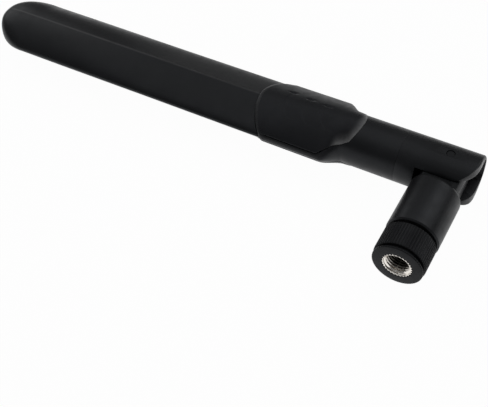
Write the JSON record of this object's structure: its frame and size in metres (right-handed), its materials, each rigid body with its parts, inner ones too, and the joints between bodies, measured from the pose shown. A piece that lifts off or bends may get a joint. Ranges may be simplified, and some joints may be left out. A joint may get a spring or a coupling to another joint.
{
  "type": "swivel antenna",
  "caption": "Flat-bladed radio antenna with a grip sleeve, a tilting and swivelling elbow and a screw-on coaxial plug, for putting on a router's threaded jack.",
  "frame": {"origin": "centre of the coupling nut's open mouth", "axes": "-Y out of the nut's mouth, +X along the blade from its tip towards the fork's end, +Z along the hinge axis, out of a broad face"},
  "size_m": [0.1414, 0.0406, 0.0146],
  "materials": {
    "shell": "fine satin moulding, black",
    "pad": "soft satin inlay, black",
    "pin": "smooth black dowel",
    "nut": "satin black with fine ribs",
    "nickel": "bright nickel plating",
    "gold": "gold plating",
    "brass": "turned",
    "steel": "spring steel",
    "white_insulator": "waxy white",
    "gasket": "soft",
    "jacket": "smooth cable jacket",
    "braid": "tinned braid",
    "board": "glass epoxy with a green mask",
    "copper": "etched copper",
    "solder": "soldered",
    "foam": "closed-cell foam"
  },
  "bodies": {
    "arm": {"radome_blade": "shell", "grip_neck": "shell", "grip_pad_upper": "pad", "grip_pad_lower": "pad", "hinge_fork": "shell", "hinge_pin_upper": "pin", "hinge_pin_lower": "pin", "antenna_board": "board", "radiator_trace": "copper", "ground_trace": "copper", "board_holder_tip": "foam", "board_holder_neck": "foam", "cable_arm": "jacket", "cable_braid_end": "braid", "cable_dielectric_end": "white_insulator", "cable_wire_end": "copper", "cable_bend": "jacket", "solder_wire": "solder", "solder_braid": "solder"},
    "barrel": {"knuckle_barrel": "shell", "swivel_bush": "brass"},
    "core": {"plug_core": "nickel", "plug_insulator": "white_insulator", "centre_contact": "gold", "crimp_ferrule": "nickel", "swivel_clip": "steel", "sealing_ring": "gasket", "snap_ring": "steel", "cable_barrel": "jacket"},
    "nut": {"grip_ring": "nut", "threaded_insert": "nickel"}
  },
  "joints": [
    {"name": "elbow_tilt", "type": "hinge", "parent": "arm", "child": "barrel", "pos_m": [0, 0.0305, 0], "axis": [0, 0, 1], "range_deg": [0, 90], "deforming": ["cable_bend"]},
    {"name": "plug_swivel", "type": "hinge", "parent": "barrel", "child": "core", "pos_m": [0, 0.012, 0], "axis": [0, 1, 0], "range_deg": [-180, 180]},
    {"name": "nut_spin", "type": "hinge", "parent": "core", "child": "nut", "pos_m": [0, 0.004, 0], "axis": [0, 1, 0], "continuous": true}
  ]
}
